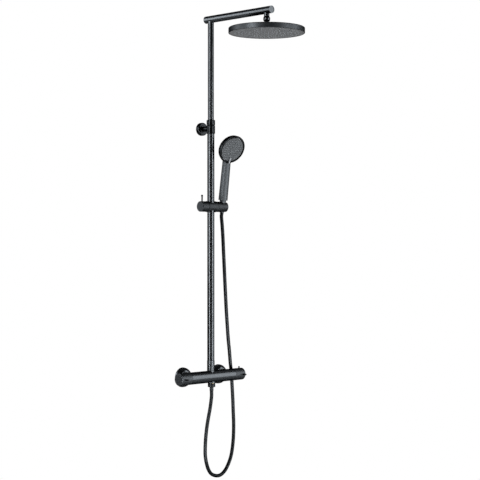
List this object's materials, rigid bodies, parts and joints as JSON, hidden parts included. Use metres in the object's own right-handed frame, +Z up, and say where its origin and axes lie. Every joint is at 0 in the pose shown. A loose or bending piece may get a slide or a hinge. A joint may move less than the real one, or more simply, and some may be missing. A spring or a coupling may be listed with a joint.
{
  "type": "rainfall shower column",
  "caption": "Wall-mounted black shower column: thermostatic bar valve, telescopic riser, swivelling arm with a round overhead head, and a handset on a sliding holder with its hose.",
  "frame": {"origin": "on the wall plane, midway between the two water inlets, at the height of the valve bar's axis", "axes": "+Z up, +Y into the wall, +X to the right of someone who faces the wall"},
  "size_m": [0.2672, 0.4125, 1.4195],
  "materials": {
    "black_metal": "satin black coating",
    "black_plastic": "satin black",
    "brass": "machined",
    "steel": "machined",
    "rubber": "matt",
    "white_plastic": "smooth",
    "grey_plastic": "satin",
    "hose": "smooth black",
    "silver_plastic": "bright silver"
  },
  "bodies": {
    "valve": {"valve_body": "black_metal", "inlet_unions": "brass", "union_nuts": "black_metal", "escutcheons": "black_metal", "inlet_filters": "rubber", "check_valves": "white_plastic", "thermostatic_cartridge": "brass", "diverter_cartridge": "brass", "cartridge_nuts": "brass", "hose_outlet": "brass", "hose_nut": "black_metal", "hose_washer": "rubber", "hose_lower_ferrule": "black_metal", "shower_hose": "hose", "riser_base_nut": "black_metal", "lower_riser_tube": "black_metal", "bracket_base": "steel", "bracket_cover": "black_metal", "bracket_collar": "black_metal", "bracket_grub_screw": "steel", "riser_lock_nut": "black_metal", "riser_collet": "white_plastic"},
    "temperature": {"temperature_knob": "black_plastic", "temperature_grip": "black_plastic", "temperature_spindle": "brass", "button_spring": "steel"},
    "button": {"safety_button": "black_plastic"},
    "flow": {"flow_knob": "black_plastic", "flow_grip": "black_plastic", "flow_spindle": "brass"},
    "riser": {"upper_riser_tube": "black_metal", "swivel_seals": "rubber"},
    "arm": {"arm_tube": "black_metal", "arm_end_caps": "black_metal", "arm_swivel_block": "brass", "arm_outlet_block": "brass", "head_stem": "black_metal", "ball_nut": "black_metal"},
    "race": {"ball_race": "white_plastic"},
    "head": {"head_ball": "steel", "head_shell": "black_plastic", "head_face": "grey_plastic", "head_nozzles": "rubber", "head_seal": "rubber"},
    "slider": {"slider_body": "black_plastic", "slider_sleeve": "white_plastic", "holder_axle": "steel"},
    "lock": {"lock_knob": "black_plastic", "lock_lever": "black_plastic"},
    "holder": {"handset_holder": "black_plastic"},
    "hose_end": {"hose_upper_ferrule": "black_metal"},
    "handset": {"handset_body": "black_plastic", "handset_rim": "black_plastic", "handset_face": "grey_plastic", "handset_nozzles": "rubber", "hose_cone_nut": "black_plastic", "handset_washer": "rubber"},
    "selector": {"spray_selector": "silver_plastic"}
  },
  "joints": [
    {"name": "riser_telescope", "type": "slide", "parent": "valve", "child": "riser", "axis": [0, 0, 1], "range_m": [-0.15, 0.1]},
    {"name": "arm_swivel", "type": "hinge", "parent": "riser", "child": "arm", "pos_m": [0, -0.048, 1.093], "axis": [0, 0, 1], "range_deg": [-60, 60]},
    {"name": "head_pitch", "type": "hinge", "parent": "arm", "child": "race", "pos_m": [0, -0.285, 1.064], "axis": [1, 0, 0], "range_deg": [-10, 10]},
    {"name": "head_roll", "type": "hinge", "parent": "race", "child": "head", "pos_m": [0, -0.285, 1.064], "axis": [0, 1, 0], "range_deg": [-10, 10]},
    {"name": "slider_slide", "type": "slide", "parent": "valve", "child": "slider", "axis": [0, 0, 1], "range_m": [-0.26, 0.2], "deforming": ["shower_hose"]},
    {"name": "slider_lock", "type": "hinge", "parent": "slider", "child": "lock", "pos_m": [0, -0.048, 0.52], "axis": [1, 0, 0], "range_deg": [0, 70]},
    {"name": "holder_tilt", "type": "hinge", "parent": "slider", "child": "holder", "pos_m": [0.049, -0.048, 0.52], "axis": [1, 0, 0], "range_deg": [0, 40]},
    {"name": "handset_lift", "type": "slide", "parent": "holder", "child": "hose_end", "axis": [0, -0.1349, 0.9909], "range_m": [0, 0.06]},
    {"name": "handset_turn", "type": "hinge", "parent": "hose_end", "child": "handset", "pos_m": [0.049, -0.048, 0.52], "axis": [0, -0.1349, 0.9909], "range_deg": [-12, 98]},
    {"name": "spray_selector_turn", "type": "hinge", "parent": "handset", "child": "selector", "pos_m": [0.04566, -0.09569, 0.69416], "axis": [-0.1312, -0.8799, -0.4566], "range_deg": [-30, 30]},
    {"name": "temperature_turn", "type": "hinge", "parent": "valve", "child": "temperature", "pos_m": [0.112, -0.048, 0], "axis": [1, 0, 0], "range_deg": [-100, 60]},
    {"name": "safety_button_push", "type": "slide", "parent": "temperature", "child": "button", "axis": [0, 0, -1], "range_m": [0, 0.0025], "stiffness_N_per_m": 400, "springref_m": -0.002, "deforming": ["button_spring"]},
    {"name": "flow_turn", "type": "hinge", "parent": "valve", "child": "flow", "pos_m": [-0.112, -0.048, 0], "axis": [1, 0, 0], "range_deg": [-90, 90]}
  ]
}
